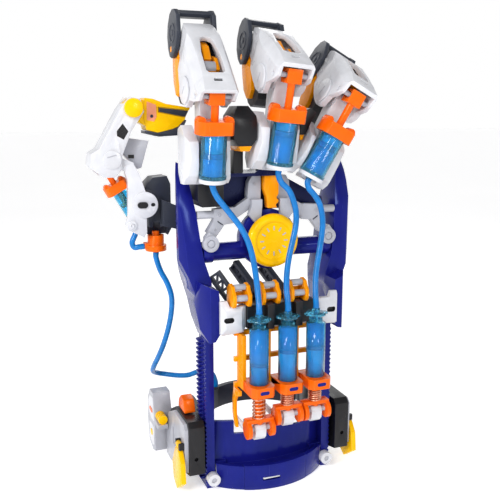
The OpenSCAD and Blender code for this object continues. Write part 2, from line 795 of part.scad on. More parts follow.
// Dark casing behind the thumb lever, fixed to the left side frame
module thumb_housing() {
    color(dark) {
        difference() {
            front_plate(51, 70)
                polygon([[-90, 214.6], [-91, 232], [-94, 240], [-96, 250], [-91, 259],
                    [-86, 264], [-74, 265], [-71, 258], [-71, 220], [-74, 214.6]]);
            translate([-84, 55, 210]) cylinder(r = 5.2, h = 16);
            translate([-93.5, 50, 213]) cube([19, 9.5, 9]);
        }
        front_plate(40, 51.1) polygon([[-81, 224], [-81, 246], [-58, 236], [-58, 218]]);
        rod_y(11.5, 49.9, 50.7, swing_axis[0] + 1.5, swing_axis[1] + 1);
        rod_y(5, 50.6, 51.1, swing_axis[0] + 1.5, swing_axis[1] + 1);
    }
    color(grey) rod_y(2.45, 41.5, 51, swing_axis[0], swing_axis[1]);
}

// Rod of the thumb's swing cylinder
module swing_rod() {
    color(orange) difference() {
        union() {
            translate([-84, 55, 206]) cylinder(r = 5, h = 3);
            translate([-84, 55, 208.9]) cylinder(r = 3, h = 9);
        }
        translate([-84, 55, 216]) cylinder(r = 1.2, h = 4);
    }
}

// White bell crank that carries the thumb and swings on the casing
module thumb_lever() {
    color(white) difference() {
        union() {
            front_plate(43.4, 49.6)
                polygon([[-104, 277], [-112, 274], [-108.6, 262], [-109.2, 233], [-111.5, 226],
                    [-109, 221.4], [-102, 217.6], [-96.4, 214.6], [-94, 219], [-94, 232],
                    [-94, 252], [-99, 268]]);
            rod_y(10.8, 42, 49.6, swing_axis[0], swing_axis[1]);
            rod_y(4, 41.8, 43.5, -106.7, 225.4);
            front_plate(44, 49.6)
                polygon([[-123, 275], [-126, 280.2], [-122, 285], [-103, 277], [-105, 268]]);
        }
        rod_y(2.52, 30, 60, swing_axis[0], swing_axis[1]);
        rod_y(bore_r, 30, 60, flex_axis[0], flex_axis[1]);
        rod_y(1.6, 41, 44, swing_axis[0] + 6.6, swing_axis[1]);
    }
}

// Thumb cylinder on the lever: clear barrel, orange cap and its mounting block
module thumb_cylinder() {
    on_thumb_cylinder() {
        color(water) difference() {
            union() {
                cylinder(r = 6, h = 26.1);
                translate([0, 0, -4]) cylinder(r = 2.8, h = 5);
            }
            translate([0, 0, 2]) cylinder(r = 5.05, h = 30);
            translate([0, 0, -5]) cylinder(r = 1.2, h = 10);
        }
        color(orange) difference() {
            union() {
                intersection() {
                    translate([0, 0, 26]) cylinder(r = 10.5, h = 8);
                    translate([-11, -7.4, 25]) cube([22, 14.4, 10]);
                }
                for (side = [-1, 1]) {
                    translate([side * 7, 3, 34]) rotate([90, 0, 0]) cylinder(r = 2.4, h = 6);
                }
            }
            translate([0, 0, 20]) cylinder(r = 2.58, h = 30);
        }
    }
}

// Rod of the thumb cylinder
module thumb_rod() {
    color(orange) on_thumb_cylinder() translate([0, 0, thumb_eye_reach]) difference() {
        union() {
            rod_y(3.6, -3.6, 3.6, 0, 0);
            translate([0, 0, -39]) cylinder(r = 2.5, h = 36.5);
            translate([0, 0, -41]) cylinder(r = 5, h = 3);
        }
        for (x = [-0.1, 0.5]) rod_y(1.6, -10, 10, x, 0);
        translate([-0.1, -10, -1.6]) cube([0.6, 20, 3.2]);
    }
}

// First bone of the thumb: a hollow white shell with a grey inner casing
module thumb_shell() {
    eye_x = thumb_cyl_foot[0] + thumb_eye_reach * sin(thumb_cyl_lean);
    eye_z = thumb_cyl_foot[1] + thumb_eye_reach * cos(thumb_cyl_lean);
    color(white) {
        difference() {
            front_plate(40, 66)
                polygon([[-113.5, 320], [-131.5, 289], [-138, 285], [-139, 274.5],
                    [-129, 266], [-119, 266], [-114, 272], [-113, 284], [-105, 303],
                    [-94.5, 318], [-97, 328], [-106, 330]]);
            front_plate(43, 63)
                polygon([[-112.5, 316], [-130, 287], [-135, 283], [-135, 262], [-100, 262],
                    [-100, 300], [-88, 318], [-92, 335], [-107, 335]]);
            front_plate(38, 45)
                polygon([[-112, 309], [-107.5, 302.5], [-111.5, 296], [-117, 299],
                    [-117, 303]]);
            rod_y(bore_r, 30, 70, tip_axis[0], tip_axis[1]);
        }
        rod_y(7.4, 38.6, 40.1, flex_axis[0], flex_axis[1]);
        rod_y(pin_r, 40, 66, flex_axis[0], flex_axis[1]);
        rod_y(1.5, 42, 64, eye_x, eye_z);
    }
    color(grey) front_plate(50.2, 63.2)
        polygon([[-106.5, 297], [-89, 294.5], [-95.6, 272.6], [-99, 271.5], [-111, 285],
            [-112.5, 290]]);
}

// Yellow end bone of the thumb
module thumb_tip() {
    color(yellow) {
        difference() {
            front_plate(48, 66)
                polygon([[-92, 329.4], [-85, 328.6], [-74, 324.6], [-53.4, 321.6],
                    [-54, 319.8], [-57.9, 312], [-64, 306], [-69.3, 303.9], [-81.3, 301.2],
                    [-91, 303.4], [-93, 312], [-93, 322]]);
            front_plate(40, 49.6)
                polygon([[-80.8, 322.2], [-80.8, 317.6], [-57, 313.2], [-54, 319.4]]);
        }
        difference() {
            union() {
                front_plate(49, 62.6)
                    polygon([[-90.3, 327], [-97, 328.6], [-104, 328.8], [-110, 324],
                        [-110, 318], [-105, 314], [-96, 309], [-90.3, 306]]);
                rod_y(7.6, 37, 39.6, tip_axis[0], tip_axis[1]);
            }
            rod_y(2.2, 60, 70, tip_axis[0], tip_axis[1]);
        }
        rod_y(pin_r, 39.5, 66, tip_axis[0], tip_axis[1]);
    }
}

// Dark grip strips of the thumb's end bone
module thumb_grip() {
    color(dark) {
        front_plate(48.6, 65)
            polygon([[-92, 303], [-81.3, 301], [-69.3, 303.7], [-64, 305.8], [-57.8, 311.8],
                [-56.5, 311], [-62.5, 298.8], [-80, 297.8], [-92, 300.6]]);
        front_plate(48.2, 49.6)
            polygon([[-80, 321.4], [-80, 318.2], [-57.6, 314], [-54.8, 318.9]]);
    }
}

// ---------- Hand rest on the rails ----------

// The right slider: a block outside the rail with a leg behind it
module slider() {
    difference() {
        union() {
            side_plate(61.7, 75)
                polygon([[-6, 18], [-6, 60], [-2, 64.5], [34, 64.5], [50, 56], [60, 44],
                    [60, 8], [48, 6.5], [6, 15]]);
            side_plate(75, 78)
                polygon([[-3, 20], [-3, 58], [1, 62], [32, 62], [48, 54], [58, 43], [58, 10],
                    [47, 9], [8, 17]]);
            block([52.2, 19.2, 18], [62, 50, 62]);
        }
        rod_y(1.8, -10, -3, 69, 32);
        side_plate(77, 79) polygon([[30, 30], [30, 46], [36, 46], [36, 30]]);
    }
    for (y = [-1, 9.4]) block([77.5, y, 40], [82.4, y + 2.6, 45.5]);
    rod_y(1.5, -1, 12, 80.6, 42.6);
}

module slider_blocks() {
    color(black) both_sides() slider();
}

// Dark band behind the user's wrist, from slider to slider
module arm_cuff() {
    color(dark) top_plate(42, 62) difference() {
        union() {
            translate([0, 21]) circle(r = 57, $fn = 160);
            for (side = [-1, 1]) translate([side * 54.4 - 2.4, 50]) square([4.8, 8]);
        }
        translate([0, 21]) circle(r = 52, $fn = 160);
        translate([-70, -40]) square([140, 90.2]);
        for (side = [-1, 1]) translate([side * 66 - 4, 0]) square([8, 90]);
    }
    color(dark) translate([-28, 65, 61.8]) cylinder(r = 3.4, h = 2.2);
}

// Case of the thumb control behind the left slider, with its yellow bellows
module thumb_input() {
    color(grey) {
        side_plate(-88, -72)
            polygon([[60.3, 12], [60.3, 48], [66, 66], [78, 66], [86, 56], [88, 34], [84, 14],
                [70, 9]]);
        side_plate(-88, -79)
            polygon([[48, 38], [48, 42], [60.5, 44], [60.5, 38]]);
    }
    color(yellow) for (k = [0:4]) {
        rod_y(k % 2 == 0 ? 4.2 : 3.2, 48.5 + 2.4 * k, 50.9 + 2.4 * k, -83.2, 46.4);
    }
}

// Orange thumb knob on top of the left slider
module thumb_knob() {
    color(orange) side_plate(-73, -63)
        polygon([[14, 65], [14, 68], [18, 76], [26, 78], [32, 73], [34, 65]]);
}

// The right lock lever, hinged on the outside of its slider
module lock_lever() {
    difference() {
        union() {
            side_plate(78.8, 83)
                polygon([[2, 40], [9, 40], [12, 36], [20, 22], [17, 8], [7, 2], [-8, 13],
                    [-6, 30], [-1, 37]]);
            rod_y(2.5, 2, 9, 80.6, 42.6);
            block([78.9, 2, 38], [82.4, 9, 43]);
        }
        rod_y(1.57, -5, 20, 80.6, 42.6);
    }
}

module right_lock() {
    color(yellow) lock_lever();
}

module left_lock() {
    color(yellow) mirror([1, 0, 0]) lock_lever();
}

// ---------- Assembly ----------

left_frame();
right_frame();
forearm_cradle();
end_caps();
syringe_bar();
syringe_rack();
input_barrels();
hose_clips();
wrist_hub();
wrist_links();
dial();
palm_block();
knuckle_brackets();
knuckle_bumpers();
centre_strut();
output_barrels();
output_caps();
finger_hoses();
thumb_hoses();
slider_blocks();
arm_cuff();
thumb_input();
thumb_knob();
left_lock();
right_lock();
thumb_housing();
swing_rod();
thumb_lever();
thumb_cylinder();
thumb_rod();
thumb_shell();
thumb_tip();
thumb_grip();
finger_shell(0);  // index_shell
finger_linkage(0);  // index_linkage
finger_rod(0);  // index_rod
finger_plunger(0);  // index_plunger
finger_spring(0);  // index_spring
finger_cradle(0);  // index_cradle
finger_side_plates(0);  // index_side_plates
finger_distal(0);  // index_distal
finger_pad(0);  // index_pad
finger_shell(1);  // middle_shell
finger_linkage(1);  // middle_linkage
finger_rod(1);  // middle_rod
finger_plunger(1);  // middle_plunger
finger_spring(1);  // middle_spring
finger_cradle(1);  // middle_cradle
finger_side_plates(1);  // middle_side_plates
finger_distal(1);  // middle_distal
finger_pad(1);  // middle_pad
finger_shell(2);  // ring_shell
finger_linkage(2);  // ring_linkage
finger_rod(2);  // ring_rod
finger_plunger(2);  // ring_plunger
finger_spring(2);  // ring_spring
finger_cradle(2);  // ring_cradle
finger_side_plates(2);  // ring_side_plates
finger_distal(2);  // ring_distal
finger_pad(2);  // ring_pad
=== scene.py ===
# Hydraulic arm kit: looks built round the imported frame. Metres, +Z up.
import json
import math

import bmesh
import bpy
from mathutils import Matrix, Vector


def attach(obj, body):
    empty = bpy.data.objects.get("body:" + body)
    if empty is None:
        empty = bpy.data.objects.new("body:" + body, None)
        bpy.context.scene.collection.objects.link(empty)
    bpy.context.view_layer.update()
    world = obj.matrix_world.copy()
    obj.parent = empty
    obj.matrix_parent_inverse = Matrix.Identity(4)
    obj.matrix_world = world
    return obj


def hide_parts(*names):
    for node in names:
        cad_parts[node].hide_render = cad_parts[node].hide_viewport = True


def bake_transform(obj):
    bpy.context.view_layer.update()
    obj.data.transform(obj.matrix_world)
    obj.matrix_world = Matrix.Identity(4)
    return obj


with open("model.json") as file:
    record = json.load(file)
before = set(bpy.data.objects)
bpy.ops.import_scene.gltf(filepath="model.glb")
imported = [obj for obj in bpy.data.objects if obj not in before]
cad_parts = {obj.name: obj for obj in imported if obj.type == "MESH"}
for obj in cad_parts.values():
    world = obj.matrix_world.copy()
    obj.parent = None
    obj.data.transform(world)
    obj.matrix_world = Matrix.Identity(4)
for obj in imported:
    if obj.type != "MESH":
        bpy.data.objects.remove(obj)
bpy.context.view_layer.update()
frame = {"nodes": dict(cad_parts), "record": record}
nodes = frame["nodes"]
scene = bpy.context.scene
MM = 0.001
FINGERS = ["index", "middle", "ring"]


def mm(*p):
    return Vector([c * MM for c in p])


# ---------- Camera ----------

def add_camera():
    a, e, far = math.radians(-21.6), math.radians(11.1), 0.572
    target = Vector((-0.0185, 0.0, 0.2064))
    back = Vector((math.sin(a) * math.cos(e), -math.cos(a) * math.cos(e), math.sin(e)))
    data = bpy.data.cameras.new("camera")
    data.lens, data.sensor_width = 50, 36
    data.clip_start, data.clip_end = 0.01, 50
    cam = bpy.data.objects.new("camera", data)
    scene.collection.objects.link(cam)
    cam.location = target + back * far
    cam.rotation_euler = back.to_track_quat("Z", "Y").to_euler()
    scene.camera = cam


add_camera()


# ---------- Materials ----------

class Nodes:
    """A material's node tree with short calls for the nodes used here."""

    def __init__(self, name):
        self.material = bpy.data.materials.new(name)
        self.material.use_nodes = True
        self.tree = self.material.node_tree
        self.shader = self.tree.nodes["Principled BSDF"]
        self.coords = self.tree.nodes.new("ShaderNodeTexCoord").outputs["Object"]

    def link(self, a, b):
        self.tree.links.new(a, b)

    def stretch(self, scale):
        n = self.tree.nodes.new("ShaderNodeMapping")
        n.inputs["Scale"].default_value = scale
        self.link(self.coords, n.inputs["Vector"])
        return n.outputs[0]

    def noise(self, scale, detail=3.0, rough=0.5, distortion=0.0, vector=None):
        n = self.tree.nodes.new("ShaderNodeTexNoise")
        n.inputs["Scale"].default_value = scale
        n.inputs["Detail"].default_value = detail
        n.inputs["Roughness"].default_value = rough
        n.inputs["Distortion"].default_value = distortion
        self.link(vector or self.coords, n.inputs["Vector"])
        return n.outputs["Fac"]

    def voronoi(self, scale):
        n = self.tree.nodes.new("ShaderNodeTexVoronoi")
        n.inputs["Scale"].default_value = scale
        self.link(self.coords, n.inputs["Vector"])
        return n.outputs["Distance"]

    def ramp(self, value, low, high, a=0.0, b=1.0):
        n = self.tree.nodes.new("ShaderNodeMapRange")
        n.clamp = True
        self.link(value, n.inputs["Value"])
        n.inputs["From Min"].default_value, n.inputs["From Max"].default_value = low, high
        n.inputs["To Min"].default_value, n.inputs["To Max"].default_value = a, b
        return n.outputs["Result"]

    def math(self, what, a, b):
        n = self.tree.nodes.new("ShaderNodeMath")
        n.operation = what
        for socket, v in zip(n.inputs, (a, b)):
            if isinstance(v, (int, float)):
                socket.default_value = v
            else:
                self.link(v, socket)
        return n.outputs[0]

    def mix(self, factor, a, b):
        n = self.tree.nodes.new("ShaderNodeMix")
        n.data_type = "RGBA"
        self.link(factor, n.inputs["Factor"])
        ins = [s for s in n.inputs if s.type == "RGBA"]
        for socket, v in zip(ins, (a, b)):
            if isinstance(v, tuple):
                socket.default_value = (*v, 1.0)
            else:
                self.link(v, socket)
        return [s for s in n.outputs if s.type == "RGBA"][0]

    def bump(self, height, strength, distance, under=None):
        n = self.tree.nodes.new("ShaderNodeBump")
        n.inputs["Strength"].default_value = strength
        n.inputs["Distance"].default_value = distance
        self.link(height, n.inputs["Height"])
        if under is not None:
            self.link(under, n.inputs["Normal"])
        return n.outputs["Normal"]

    def edges(self, radius):
        """1 along the edges of the solid, 0 on its faces."""
        bevel = self.tree.nodes.new("ShaderNodeBevel")
        bevel.samples = 3
        bevel.inputs["Radius"].default_value = radius
        geometry = self.tree.nodes.new("ShaderNodeNewGeometry")
        dot = self.tree.nodes.new("ShaderNodeVectorMath")
        dot.operation = "DOT_PRODUCT"
        self.link(bevel.outputs[0], dot.inputs[0])
        self.link(geometry.outputs["Normal"], dot.inputs[1])
        return self.ramp(dot.outputs["Value"], 0.93, 0.995, 1.0, 0.0)

    def put(self, **sockets):
        names = {"base": "Base Color", "rough": "Roughness", "normal": "Normal",
                 "metal": "Metallic", "coat": "Coat Weight", "coat_rough": "Coat Roughness",
                 "ior": "IOR", "clear": "Transmission Weight", "sheen": "Sheen Weight",
                 "glow": "Subsurface Weight", "spec": "Specular IOR Level", "tint": "Specular Tint"}
        for key, v in sockets.items():
            socket = self.shader.inputs[names[key]]
            if isinstance(v, (int, float)):
                socket.default_value = v
            elif isinstance(v, tuple):
                socket.default_value = (*v, 1.0)
            else:
                self.link(v, socket)
        return self.material


def scaled(colour, k):
    return tuple(min(1.0, c * k) for c in colour)


def moulded(name, colour, rough, coat=0.0, grain=0.12, wear_and_highlight=0.35, worn_and_highlight=None, glow=0.0,
            grain_scale=1500, spec=0.3, tint=(1.0, 1.0, 1.0)):
    """Injection-moulded plastic: mould grain, faint flow marks, smudges, and edges lightened both
    by rubbed wear and as a painted highlight.
    """
    n = Nodes(name)
    # The lighter edge colour: part rubbed wear, part painted highlight.
    worn_and_highlight = worn_and_highlight or tuple(min(1.0, c * 1.25 + 0.06) for c in colour)
    blotch = n.ramp(n.noise(45, 4, 0.6), 0.3, 0.7)
    base = n.mix(blotch, scaled(colour, 0.9), scaled(colour, 1.08))
    flow = n.ramp(n.noise(16, 5, 0.55, 1.5, n.stretch((1.0, 1.0, 0.25))), 0.56, 0.72, 0.0, 0.5)
    base = n.mix(flow, base, scaled(colour, 0.82))
    # Every edge is lightened in patches: rubbed wear plus a painted highlight along the edges.
    rubbed_and_highlight = n.math("MULTIPLY", n.edges(0.0007), n.ramp(n.noise(220, 3), 0.35, 0.62, 0.2, wear_and_highlight))
    base = n.mix(rubbed_and_highlight, base, worn_and_highlight)
    smudge = n.ramp(n.noise(28, 5, 0.65, 0.8), 0.35, 0.7, rough * 0.78, rough * 1.3)
    scuff = n.ramp(n.noise(420, 2, 0.5, 0.0, n.stretch((1.0, 1.0, 0.06))), 0.70, 0.76, 0.0, 0.18)
    roughness = n.math("ADD", smudge, scuff)
    roughness = n.math("ADD", roughness, n.math("MULTIPLY", rubbed_and_highlight, 0.12))
    fine = n.bump(n.noise(grain_scale, 2, 0.5), grain, 0.00012)
    wavy = n.bump(n.noise(60, 2, 0.5), 0.05, 0.0008, fine)
    n.put(base=base, rough=roughness, normal=wavy, coat=coat, coat_rough=0.05, glow=glow,
          spec=spec, tint=tint)
    if glow:
        n.shader.inputs["Subsurface Radius"].default_value = (0.002, 0.0016, 0.0014)
        n.shader.inputs["Subsurface Scale"].default_value = 0.6
    return n.material


def clear_plastic(name, colour, rough=0.04):
    """Tinted clear styrene: thin scratches and faint draw lines along its length."""
    n = Nodes(name)
    draw = n.ramp(n.noise(240, 2, 0.5, 0.0, n.stretch((1.0, 1.0, 0.04))), 0.35, 0.7)
    base = n.mix(draw, scaled(colour, 0.86), scaled(colour, 1.06))
    roughness = n.math("ADD", n.ramp(draw, 0, 1, rough, rough * 2.2),
                       n.ramp(n.noise(900, 2), 0.66, 0.75, 0.0, 0.12))
    normal = n.bump(draw, 0.06, 0.0002)
    return n.put(base=base, rough=roughness, normal=normal, clear=0.9, ior=1.22, coat=0.3,
                 coat_rough=0.03)


def hose_rubber(name, colour):
    n = Nodes(name)
    base = n.mix(n.ramp(n.noise(120, 4, 0.6), 0.3, 0.7), scaled(colour, 0.82), scaled(colour, 1.12))
    dust = n.ramp(n.noise(700, 3), 0.62, 0.72, 0.0, 0.25)
    base = n.mix(dust, base, tuple(c * 0.8 + 0.04 for c in colour))
    rough = n.ramp(n.noise(60, 4), 0.3, 0.7, 0.16, 0.32)
    normal = n.bump(n.noise(380, 3), 0.10, 0.0002)
    n.put(base=base, rough=rough, normal=normal, coat=0.12, coat_rough=0.08, glow=0.05,
          spec=0.3)
    n.shader.inputs["Subsurface Radius"].default_value = (0.0006, 0.001, 0.002)
    return n.material


def soft_rubber(name, colour):
    n = Nodes(name)
    cells = n.voronoi(900)
    base = n.mix(n.ramp(n.noise(90, 4), 0.3, 0.7), scaled(colour, 0.75), scaled(colour, 1.5))
    # Edges lightened to grey: rubbed wear plus a painted highlight.
    base = n.mix(n.math("MULTIPLY", n.edges(0.001), 0.5), base, (0.14, 0.14, 0.14))
    rough = n.ramp(cells, 0.0, 0.6, 0.5, 0.78)
    normal = n.bump(cells, 0.25, 0.00025)
    return n.put(base=base, rough=rough, normal=normal, sheen=0.12)


def spring_wire(name, colour):
    n = Nodes(name)
    rings = n.noise(1600, 2, 0.5, 0.0, n.stretch((0.1, 0.1, 1.0)))
    base = n.mix(n.ramp(n.noise(300, 3), 0.35, 0.7), colour, scaled(colour, 0.6))
    rough = n.ramp(rings, 0.3, 0.7, 0.2, 0.42)
    return n.put(base=base, rough=rough, normal=n.bump(rings, 0.1, 0.00008), metal=1.0)


# The lighter edge colours given below stand for rubbed wear and for a painted edge highlight.
PAINT = {
    "blue_shell": moulded("blue_shell", (0.0075, 0.0095, 0.175), 0.17, coat=0.0, grain=0.04,
                          worn_and_highlight=(0.05, 0.065, 0.38), tint=(0.4, 0.55, 1.0)),
    "navy_shell": moulded("navy_shell", (0.006, 0.007, 0.042), 0.26, grain=0.06,
                          worn_and_highlight=(0.04, 0.045, 0.19), tint=(0.5, 0.6, 1.0)),
    "white_shell": moulded("white_shell", (0.63, 0.64, 0.68), 0.32, coat=0.08, grain=0.14,
                           worn_and_highlight=(0.86, 0.87, 0.9), glow=0.04),
    "grey_shell": moulded("grey_shell", (0.4, 0.41, 0.46), 0.34, coat=0.06, grain=0.18,
                          worn_and_highlight=(0.52, 0.53, 0.58)),
    "dark_shell": moulded("dark_shell", (0.032, 0.037, 0.052), 0.38, grain=0.28,
                          worn_and_highlight=(0.13, 0.14, 0.18)),
    "black_shell": moulded("black_shell", (0.008, 0.008, 0.010), 0.34, grain=0.2,
                           worn_and_highlight=(0.07, 0.07, 0.08)),
    "orange_shell": moulded("orange_shell", (0.83, 0.118, 0.001), 0.25, coat=0.04, grain=0.06,
                            worn_and_highlight=(0.95, 0.3, 0.05), glow=0.04,
                            tint=(1.0, 0.75, 0.45)),
    "amber_shell": moulded("amber_shell", (0.93, 0.31, 0.0), 0.26, coat=0.04, grain=0.06,
                           worn_and_highlight=(1.0, 0.5, 0.08), glow=0.04,
                           tint=(1.0, 0.85, 0.4)),
    "yellow_shell": moulded("yellow_shell", (0.98, 0.53, 0.0), 0.25, coat=0.04, grain=0.06,
                            worn_and_highlight=(1.0, 0.74, 0.2), glow=0.04,
                            tint=(1.0, 0.9, 0.4)),
    "peach_shell": moulded("peach_shell", (0.86, 0.33, 0.19), 0.3, coat=0.08, grain=0.06,
                           worn_and_highlight=(0.95, 0.6, 0.45), glow=0.05),
    "water_blue": moulded("water_blue", (0.0, 0.3, 0.78), 0.3, coat=0.0, grain=0.02,
                          worn_and_highlight=(0.02, 0.45, 0.85), glow=0.05),
    "sleeve_blue": moulded("sleeve_blue", (0.01, 0.55, 0.95), 0.3, coat=0.0, grain=0.02,
                           worn_and_highlight=(0.3, 0.7, 0.95), glow=0.05),
    "clear_blue": clear_plastic("clear_blue", (0.16, 0.7, 1.0)),
    "hose_blue": hose_rubber("hose_blue", (0.001, 0.165, 0.5)),
    "copper_spring": spring_wire("copper_spring", (0.85, 0.42, 0.27)),
    "tip_rubber": soft_rubber("tip_rubber", (0.014, 0.013, 0.014)),
}


# ---------- Frames of the part ----------

KNUCKLE = [(-56, -4, 334), (4, -8, 343), (57, -8.4, 327)]
LEAN = [0, 5, 28]
BEND = [42, 60, 60]
# Middle joint in the frame of the first bone, and the bends and length that follow it
MIDDLE_JOINT = (0, -7, 50)
BEND_2 = 84
BEND_3 = 63
BONE_2 = 15
# Crank pin and upper roller in the frame of the first bone, as (y, z)
CRANK = (-13, -18.4)
ROLLER = (-15.5, 8)
# Output cylinders: foot from the knuckle, lean, and reach of the rod eye
OUTPUT_FOOT = (0, -13, -66)
OUTPUT_LEAN = 8
EYE_REACH = [61.6, 68.7, 68.7]
# Input cylinders: distance between two, their depth, and their axle heights
PITCH = 25
INPUT_Y = -36
AXLE_Y = -37
AXLE_Z = [66.6, 74.5, 74.5]
HUB_Z = 214
HERE = Matrix.Identity(4)


def turn(degrees, axis):
    return Matrix.Rotation(math.radians(degrees), 4, axis)


def knuckle_frame(i):
    return Matrix.Translation(mm(*KNUCKLE[i])) @ turn(LEAN[i], "Y")


def bone_frame(i, bone):
    m = knuckle_frame(i) @ turn(-BEND[i], "X")
    if bone > 1:
        m = m @ Matrix.Translation(mm(*MIDDLE_JOINT)) @ turn(-BEND_2, "X")
    if bone > 2:
        m = m @ Matrix.Translation(mm(0, 0, BONE_2)) @ turn(-BEND_3, "X")
    return m


def output_frame(i):
    return knuckle_frame(i) @ Matrix.Translation(mm(*OUTPUT_FOOT)) @ turn(OUTPUT_LEAN, "X")


# ---------- Making meshes ----------

def piece(name, points, faces, material, body=None, smooth=True, at=None):
    mesh = bpy.data.meshes.new(name)
    if at is not None:
        points = [at @ Vector(p) for p in points]
    mesh.from_pydata([tuple(p) for p in points], [], faces)
    work = bmesh.new()
    work.from_mesh(mesh)
    bmesh.ops.remove_doubles(work, verts=work.verts, dist=1e-7)
    bmesh.ops.recalc_face_normals(work, faces=work.faces)
    work.to_mesh(mesh)
    work.free()
    mesh.materials.append(PAINT[material])
    mesh.polygons.foreach_set("use_smooth", [smooth] * len(mesh.polygons))
    o = bpy.data.objects.new(name, mesh)
    scene.collection.objects.link(o)
    if body:
        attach(o, body)
    return o


def rounded(o, width=0.3, segments=2, angle=30):
    b = o.modifiers.new("bevel", "BEVEL")
    b.width, b.segments = width * MM, segments
    b.limit_method, b.angle_limit = "ANGLE", math.radians(angle)
    b.harden_normals = True
    return o


def prism(name, outline, low, high, material, body, at, axis="y", width=0.3):
    """A plate: outline in the plane across axis, from low to high along it (mm)."""
    place = {"x": lambda a, b, t: (t, a, b), "y": lambda a, b, t: (a, t, b),
             "z": lambda a, b, t: (a, b, t)}[axis]
    k = len(outline)
    points = [mm(*place(a, b, t)) for t in (low, high) for a, b in outline]
    faces = [tuple(range(k)), tuple(range(2 * k - 1, k - 1, -1))]
    faces += [(i, (i + 1) % k, k + (i + 1) % k, k + i) for i in range(k)]
    return rounded(piece(name, points, faces, material, body, True, at), width)


def capsule(cx, cy, half, r, steps=8):
    """Outline of an oblong with round ends, along its first axis."""
    right = [(cx + half + r * math.sin(math.pi * k / steps),
              cy - r * math.cos(math.pi * k / steps)) for k in range(steps + 1)]
    left = [(cx - half - r * math.sin(math.pi * k / steps),
             cy + r * math.cos(math.pi * k / steps)) for k in range(steps + 1)]
    return right + left


def turned(name, profile, material, body, at, steps=64):
    """A solid of revolution about local Z: profile of (radius, height) in mm."""
    points, faces = [], []
    k = len(profile)
    for s in range(steps):
        a = 2 * math.pi * s / steps
        points += [mm(r * math.cos(a), r * math.sin(a), z) for r, z in profile]
    for s in range(steps):
        n = (s + 1) % steps
        faces += [(s * k + j, n * k + j, n * k + j + 1, s * k + j + 1) for j in range(k - 1)]
    return piece(name, points, faces, material, body, True, at)


def smooth_route(route, per=8):
    """Catmull-Rom points through a route given in mm."""
    p = [Vector(q) * MM for q in route]
    p = [p[0] * 2 - p[1]] + p + [p[-1] * 2 - p[-2]]
    out = []
    for i in range(1, len(p) - 2):
        for k in range(per):
            t = k / per
            out.append(0.5 * ((2 * p[i]) + (p[i + 1] - p[i - 1]) * t
                              + (2 * p[i - 1] - 5 * p[i] + 4 * p[i + 1] - p[i + 2]) * t * t
                              + (3 * p[i] - p[i - 1] - 3 * p[i + 1] + p[i + 2]) * t ** 3))
    return out + [p[-2]]


def tube_mesh(path, radius_at, sides=16):
    """Rings swept along a path without twist, with closed ends."""
    points, faces = [], []
    along = [(path[min(i + 1, len(path) - 1)] - path[max(i - 1, 0)]).normalized()
             for i in range(len(path))]
    side = along[0].cross(Vector((0.2, 1, 0.1))).normalized()
    for i, (p, t) in enumerate(zip(path, along)):
        side = (side - t * side.dot(t)).normalized()
        up = t.cross(side)
        r = radius_at(i)
        points += [p + r * (math.cos(2 * math.pi * k / sides) * side
                            + math.sin(2 * math.pi * k / sides) * up) for k in range(sides)]
    for i in range(len(path) - 1):
        a, b = i * sides, (i + 1) * sides
        faces += [(a + k, a + (k + 1) % sides, b + (k + 1) % sides, b + k) for k in range(sides)]
    faces.append(tuple(range(sides - 1, -1, -1)))
    faces.append(tuple(range(len(points) - sides, len(points))))
    return points, faces


def length_of(path):
    return sum((b - a).length for a, b in zip(path, path[1:]))


# ---------- Hoses ----------

HOSE_R = 2.4 * MM
ROUTES = {
    "index_hose": [(-56, -16.4, 263.8), (-55.5, -16.5, 260), (-53, -17.5, 254), (-48, -19, 247),
                   (-41, -20.5, 238), (-34, -22, 228), (-29, -23.5, 217), (-26, -25, 205),
                   (-24.5, -27, 193), (-24, -30, 181), (-24.5, -34, 171), (-25, -36, 165),
                   (-25, -36, 162.2)],
    "middle_hose": [(-2.1, -20.4, 273.1), (-2.4, -20.2, 269.5), (-0.5, -21.5, 263.5),
                    (5.5, -23, 257), (9, -24, 249), (11, -25, 240), (10.5, -26, 229),
                    (7.5, -27, 217), (4, -28, 204), (1.5, -29.5, 191), (0.3, -32, 179),
                    (0, -35, 170), (0, -36, 165), (0, -36, 162.2)],
    "ring_hose": [(24.1, -20.8, 265.1), (22.9, -20.8, 262), (24.2, -21.8, 257.2),
                  (28.5, -23, 252), (32.5, -24, 245), (34.5, -25, 236), (34.5, -26, 226),
                  (32.5, -27, 213), (30, -28, 201), (27.5, -29.5, 189), (26, -32, 178),
                  (25, -35, 170), (25, -36, 165), (25, -36, 162.2)],
    "thumb_hose": [(-84, 55, 199.5), (-84, 55, 194), (-81, 53, 183), (-76, 50, 172),
                   (-73, 48, 160), (-73, 50, 146), (-75, 54, 130), (-78, 60, 114),
                   (-81, 68, 100), (-83, 78, 88), (-82, 88, 79), (-76, 94, 74), (-68, 93, 72),
                   (-59, 86, 72), (-51, 78, 74), (-44, 72, 78), (-37, 68, 80), (-31, 66, 77),
                   (-28, 65, 70), (-28, 65, 64.2)],
    "loop_hose": [(-98.5, 57, 226.1), (-98, 57, 224), (-101, 57, 216), (-104, 57, 209),
                  (-102.5, 56.5, 204.5), (-98.5, 55.5, 204.8), (-94.2, 55.5, 205)],
}


def add_hoses():
    for name, route in ROUTES.items():
        path = smooth_route(route)
        last = len(path) - 1

        def radius_at(i):
            near = min(i, last - i)
            return HOSE_R * (1.06 if near < 5 else 1.03 if near < 7 else 1.0)

        points, faces = tube_mesh(path, radius_at)
        o = piece(name, points, faces, "hose_blue")
        if name == "thumb_hose":
            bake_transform(o)
        elif name == "loop_hose":
            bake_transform(o)
        else:
            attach(o, "base")
        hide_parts("thumb_hoses" if name in ("thumb_hose", "loop_hose") else "finger_hoses")
        print(name, "length", round(length_of(path), 4))


add_hoses()


# ---------- CAD nodes: soft edges and their materials ----------

